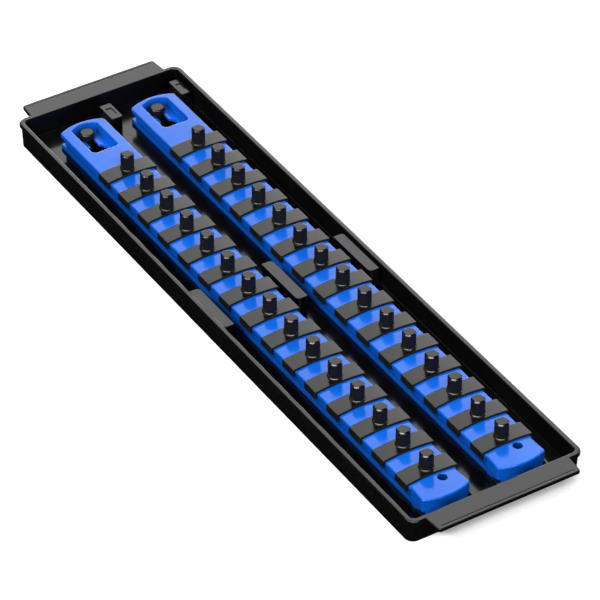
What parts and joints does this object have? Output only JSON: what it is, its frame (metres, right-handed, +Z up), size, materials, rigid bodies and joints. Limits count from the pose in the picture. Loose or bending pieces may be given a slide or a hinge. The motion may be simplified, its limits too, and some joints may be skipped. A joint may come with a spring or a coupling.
{
  "type": "socket rail",
  "caption": "Socket rail tray: a shallow handled tray holding keyholed rails, each carrying a row of sliding spring clips with socket posts.",
  "frame": {"origin": "middle of the tray's flat underside", "axes": "+Z up, +Y along the rails towards their keyhole heads, +X across the rails"},
  "size_m": [0.1292, 0.5218, 0.032],
  "materials": {
    "tray": "black injection-moulded plastic, fine satin grain",
    "rail": "bright blue injection-moulded plastic, satin gloss",
    "clip": "black injection-moulded plastic, fine satin grain",
    "peg": "black injection-moulded plastic, smooth"
  },
  "bodies": {
    "tray": {"tray": "tray", "rail_peg_left": "peg", "rail_peg_right": "peg"},
    "rail_left": {"rail_left": "rail"},
    "clip_left_01": {"clip_left_01": "clip"},
    "clip_left_02": {"clip_left_02": "clip"},
    "clip_left_03": {"clip_left_03": "clip"},
    "clip_left_04": {"clip_left_04": "clip"},
    "clip_left_05": {"clip_left_05": "clip"},
    "clip_left_06": {"clip_left_06": "clip"},
    "clip_left_07": {"clip_left_07": "clip"},
    "clip_left_08": {"clip_left_08": "clip"},
    "clip_left_09": {"clip_left_09": "clip"},
    "clip_left_10": {"clip_left_10": "clip"},
    "clip_left_11": {"clip_left_11": "clip"},
    "clip_left_12": {"clip_left_12": "clip"},
    "clip_left_13": {"clip_left_13": "clip"},
    "clip_left_14": {"clip_left_14": "clip"},
    "clip_left_15": {"clip_left_15": "clip"},
    "rail_right": {"rail_right": "rail"},
    "clip_right_01": {"clip_right_01": "clip"},
    "clip_right_02": {"clip_right_02": "clip"},
    "clip_right_03": {"clip_right_03": "clip"},
    "clip_right_04": {"clip_right_04": "clip"},
    "clip_right_05": {"clip_right_05": "clip"},
    "clip_right_06": {"clip_right_06": "clip"},
    "clip_right_07": {"clip_right_07": "clip"},
    "clip_right_08": {"clip_right_08": "clip"},
    "clip_right_09": {"clip_right_09": "clip"},
    "clip_right_10": {"clip_right_10": "clip"},
    "clip_right_11": {"clip_right_11": "clip"},
    "clip_right_12": {"clip_right_12": "clip"},
    "clip_right_13": {"clip_right_13": "clip"},
    "clip_right_14": {"clip_right_14": "clip"},
    "clip_right_15": {"clip_right_15": "clip"}
  },
  "joints": [
    {"name": "rail_left_release", "type": "slide", "parent": "tray", "child": "rail_left", "axis": [0, 1, 0], "range_m": [0, 0.016]},
    {"name": "clip_left_01_slide", "type": "slide", "parent": "rail_left", "child": "clip_left_01", "axis": [0, 1, 0], "range_m": [-0.0064, 0.0064]},
    {"name": "clip_left_02_slide", "type": "slide", "parent": "rail_left", "child": "clip_left_02", "axis": [0, 1, 0], "range_m": [-0.0064, 0.0064]},
    {"name": "clip_left_03_slide", "type": "slide", "parent": "rail_left", "child": "clip_left_03", "axis": [0, 1, 0], "range_m": [-0.0064, 0.0064]},
    {"name": "clip_left_04_slide", "type": "slide", "parent": "rail_left", "child": "clip_left_04", "axis": [0, 1, 0], "range_m": [-0.0064, 0.0064]},
    {"name": "clip_left_05_slide", "type": "slide", "parent": "rail_left", "child": "clip_left_05", "axis": [0, 1, 0], "range_m": [-0.0064, 0.0064]},
    {"name": "clip_left_06_slide", "type": "slide", "parent": "rail_left", "child": "clip_left_06", "axis": [0, 1, 0], "range_m": [-0.0064, 0.0064]},
    {"name": "clip_left_07_slide", "type": "slide", "parent": "rail_left", "child": "clip_left_07", "axis": [0, 1, 0], "range_m": [-0.0064, 0.0064]},
    {"name": "clip_left_08_slide", "type": "slide", "parent": "rail_left", "child": "clip_left_08", "axis": [0, 1, 0], "range_m": [-0.0064, 0.0064]},
    {"name": "clip_left_09_slide", "type": "slide", "parent": "rail_left", "child": "clip_left_09", "axis": [0, 1, 0], "range_m": [-0.0064, 0.0064]},
    {"name": "clip_left_10_slide", "type": "slide", "parent": "rail_left", "child": "clip_left_10", "axis": [0, 1, 0], "range_m": [-0.0064, 0.0064]},
    {"name": "clip_left_11_slide", "type": "slide", "parent": "rail_left", "child": "clip_left_11", "axis": [0, 1, 0], "range_m": [-0.0064, 0.0064]},
    {"name": "clip_left_12_slide", "type": "slide", "parent": "rail_left", "child": "clip_left_12", "axis": [0, 1, 0], "range_m": [-0.0064, 0.0064]},
    {"name": "clip_left_13_slide", "type": "slide", "parent": "rail_left", "child": "clip_left_13", "axis": [0, 1, 0], "range_m": [-0.0064, 0.0064]},
    {"name": "clip_left_14_slide", "type": "slide", "parent": "rail_left", "child": "clip_left_14", "axis": [0, 1, 0], "range_m": [-0.0064, 0.0064]},
    {"name": "clip_left_15_slide", "type": "slide", "parent": "rail_left", "child": "clip_left_15", "axis": [0, 1, 0], "range_m": [-0.0014, 0.0064]},
    {"name": "rail_right_release", "type": "slide", "parent": "tray", "child": "rail_right", "axis": [0, 1, 0], "range_m": [0, 0.016]},
    {"name": "clip_right_01_slide", "type": "slide", "parent": "rail_right", "child": "clip_right_01", "axis": [0, 1, 0], "range_m": [-0.0064, 0.0064]},
    {"name": "clip_right_02_slide", "type": "slide", "parent": "rail_right", "child": "clip_right_02", "axis": [0, 1, 0], "range_m": [-0.0064, 0.0064]},
    {"name": "clip_right_03_slide", "type": "slide", "parent": "rail_right", "child": "clip_right_03", "axis": [0, 1, 0], "range_m": [-0.0064, 0.0064]},
    {"name": "clip_right_04_slide", "type": "slide", "parent": "rail_right", "child": "clip_right_04", "axis": [0, 1, 0], "range_m": [-0.0064, 0.0064]},
    {"name": "clip_right_05_slide", "type": "slide", "parent": "rail_right", "child": "clip_right_05", "axis": [0, 1, 0], "range_m": [-0.0064, 0.0064]},
    {"name": "clip_right_06_slide", "type": "slide", "parent": "rail_right", "child": "clip_right_06", "axis": [0, 1, 0], "range_m": [-0.0064, 0.0064]},
    {"name": "clip_right_07_slide", "type": "slide", "parent": "rail_right", "child": "clip_right_07", "axis": [0, 1, 0], "range_m": [-0.0064, 0.0064]},
    {"name": "clip_right_08_slide", "type": "slide", "parent": "rail_right", "child": "clip_right_08", "axis": [0, 1, 0], "range_m": [-0.0064, 0.0064]},
    {"name": "clip_right_09_slide", "type": "slide", "parent": "rail_right", "child": "clip_right_09", "axis": [0, 1, 0], "range_m": [-0.0064, 0.0064]},
    {"name": "clip_right_10_slide", "type": "slide", "parent": "rail_right", "child": "clip_right_10", "axis": [0, 1, 0], "range_m": [-0.0064, 0.0064]},
    {"name": "clip_right_11_slide", "type": "slide", "parent": "rail_right", "child": "clip_right_11", "axis": [0, 1, 0], "range_m": [-0.0064, 0.0064]},
    {"name": "clip_right_12_slide", "type": "slide", "parent": "rail_right", "child": "clip_right_12", "axis": [0, 1, 0], "range_m": [-0.0064, 0.0064]},
    {"name": "clip_right_13_slide", "type": "slide", "parent": "rail_right", "child": "clip_right_13", "axis": [0, 1, 0], "range_m": [-0.0064, 0.0064]},
    {"name": "clip_right_14_slide", "type": "slide", "parent": "rail_right", "child": "clip_right_14", "axis": [0, 1, 0], "range_m": [-0.0064, 0.0064]},
    {"name": "clip_right_15_slide", "type": "slide", "parent": "rail_right", "child": "clip_right_15", "axis": [0, 1, 0], "range_m": [-0.0014, 0.0064]}
  ]
}
